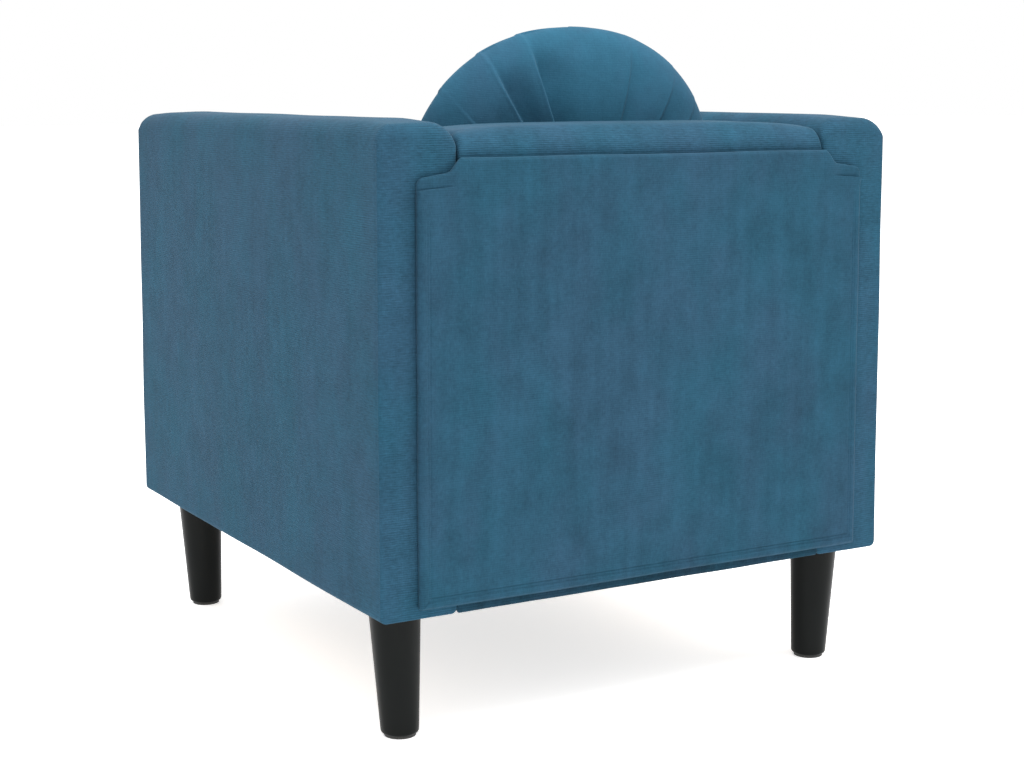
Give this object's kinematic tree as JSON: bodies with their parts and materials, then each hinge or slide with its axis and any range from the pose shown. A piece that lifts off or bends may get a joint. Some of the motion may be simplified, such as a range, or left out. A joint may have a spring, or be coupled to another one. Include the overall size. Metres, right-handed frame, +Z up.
{
  "type": "upholstered armchair",
  "caption": "Square-armed upholstered armchair with a loose seat cushion, tapered round legs and a round pleated scatter pillow.",
  "frame": {"origin": "on the floor, under the centre of the chair's bounding box", "axes": "+Z up, -Y the front, where a sitter's knees are, +X the sitter's left"},
  "size_m": [0.69, 0.781, 0.7951],
  "materials": {
    "velvet": "ribbed velvet, short nap",
    "cushion_velvet": "ribbed velvet, short nap",
    "pillow_velvet": "velvet, gathered in folds",
    "foam": "open-cell foam",
    "wadding": "polyester wadding",
    "timber": "planed hardwood, unfinished",
    "hardboard": "pressed board, smooth",
    "steel": "bright zinc plate",
    "leg_black": "black satin",
    "felt": "needled felt",
    "webbing": "woven elastic strap",
    "paper_cord": "paper-wrapped steel rod",
    "twine": "waxed twine",
    "black_cloth": "non-woven cloth"
  },
  "bodies": {
    "chair": {"arm_cover_left": "velvet", "arm_cover_right": "velvet", "arm_padding_left": "foam", "arm_padding_right": "foam", "arm_top_rail_left": "timber", "arm_top_rail_right": "timber", "arm_bottom_rail_left": "timber", "arm_bottom_rail_right": "timber", "arm_front_post_left": "timber", "arm_front_post_right": "timber", "arm_rear_post_left": "timber", "arm_rear_post_right": "timber", "arm_side_boards_left": "hardboard", "arm_side_boards_right": "hardboard", "leg_front_left": "leg_black", "leg_front_right": "leg_black", "leg_rear_left": "leg_black", "leg_rear_right": "leg_black", "leg_bolts": "steel", "leg_tee_nuts": "steel", "leg_glides": "felt", "seat_front_rail": "timber", "seat_rear_rail": "timber", "seat_side_rail_left": "timber", "seat_side_rail_right": "timber", "seat_corner_blocks": "timber", "seat_springs": "steel", "spring_clips": "steel", "spring_tie_rods": "paper_cord", "spring_felt": "felt", "deck_padding": "foam", "front_border_padding": "foam", "seat_deck_cover": "velvet", "dust_cover": "black_cloth", "joining_bolts": "steel", "joining_washers": "steel", "joining_inserts": "steel", "back_post_left": "timber", "back_post_right": "timber", "back_top_rail": "timber", "back_middle_rail": "timber", "back_bottom_rail": "timber", "back_webbing": "webbing", "back_padding": "foam", "back_cover": "velvet", "outside_back_board": "hardboard", "outside_back_wadding": "wadding", "outside_back_tack_strips": "hardboard", "outside_back_cover": "velvet", "rear_hem_strip": "velvet"},
    "seat_cushion": {"seat_cushion_cover": "cushion_velvet", "seat_cushion_core": "foam", "seat_cushion_zip": "black_cloth"},
    "zip_slider": {"zip_slider": "steel"},
    "pillow": {"pillow_cover": "pillow_velvet", "pillow_filling": "wadding", "pillow_buttons": "pillow_velvet", "pillow_tuft_cord": "twine"}
  },
  "joints": [
    {"name": "seat_cushion_lift", "type": "slide", "parent": "chair", "child": "seat_cushion", "axis": [0, 0, 1], "range_m": [0, 0.42]},
    {"name": "zip_slider_travel", "type": "slide", "parent": "seat_cushion", "child": "zip_slider", "axis": [1, 0, 0], "range_m": [0, 0.436]},
    {"name": "pillow_lift", "type": "slide", "parent": "seat_cushion", "child": "pillow", "axis": [0, 0, 1], "range_m": [0, 0.3]}
  ]
}
